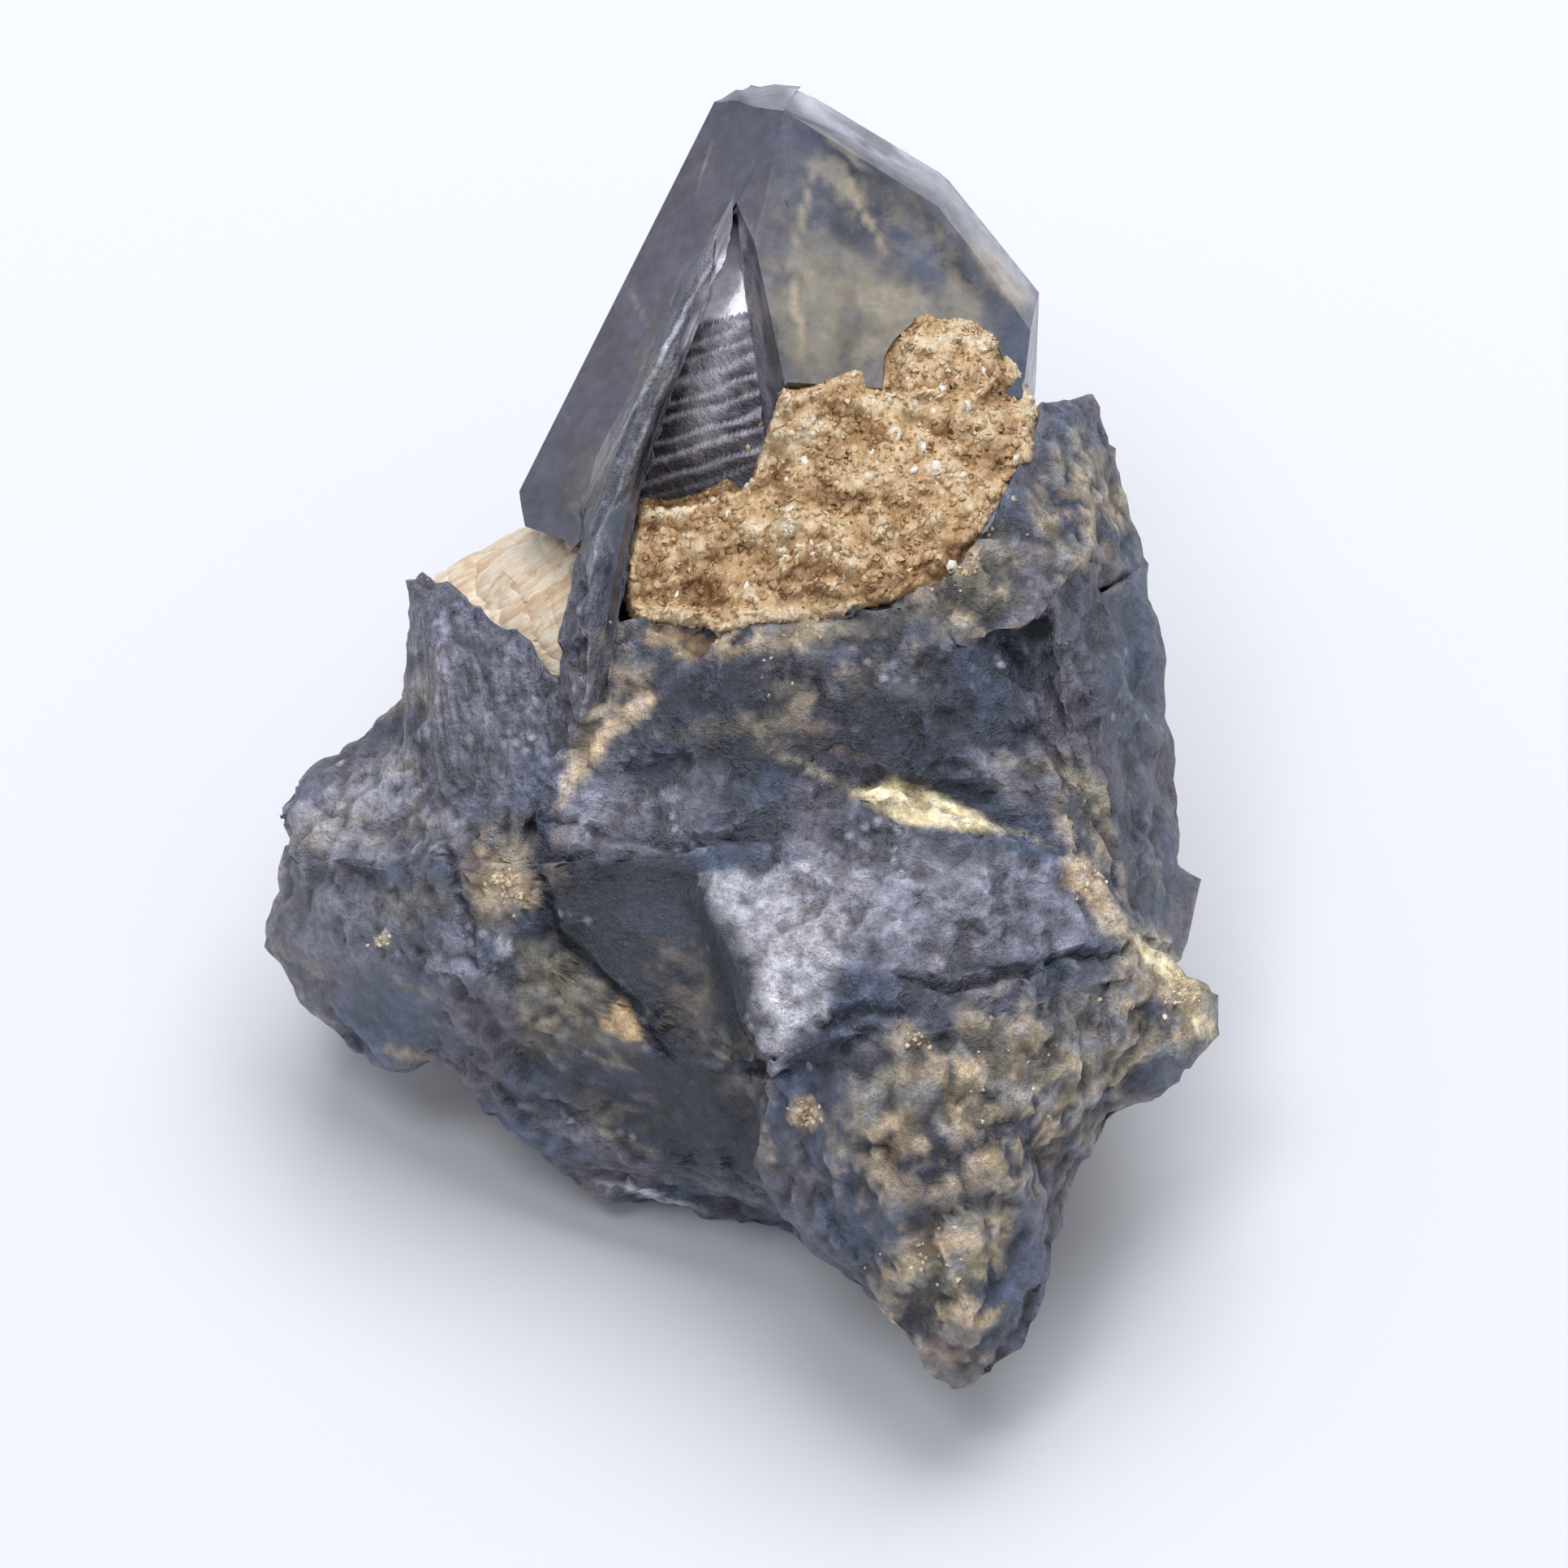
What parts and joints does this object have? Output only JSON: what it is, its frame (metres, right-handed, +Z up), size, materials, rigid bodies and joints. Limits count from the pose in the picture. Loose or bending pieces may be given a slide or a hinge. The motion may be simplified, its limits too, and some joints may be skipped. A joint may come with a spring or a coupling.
{
  "type": "cassiterite specimen",
  "caption": "Mineral specimen: a large twinned cassiterite crystal and a striated blade on a rough mass of cassiterite, with a pocket of golden mica and a wedge of pale feldspar.",
  "frame": {"origin": "centre of the bounding box's underside, on the flat surface that the stone rests on", "axes": "+Z up, +Y along the stone from the prong to the twin crystal's top, +X to the right as its display face is seen from the prong's side"},
  "size_m": [0.0412, 0.054, 0.0336],
  "materials": {
    "cassiterite": "adamantine crystal faces, hackly where broken, with brown iron stains",
    "mica": "sparkling flakes",
    "feldspar": "satin, with cleavage steps"
  },
  "bodies": {
    "root": {"cassiterite": "cassiterite", "mica_matrix": "mica", "feldspar": "feldspar"}
  },
  "joints": []
}
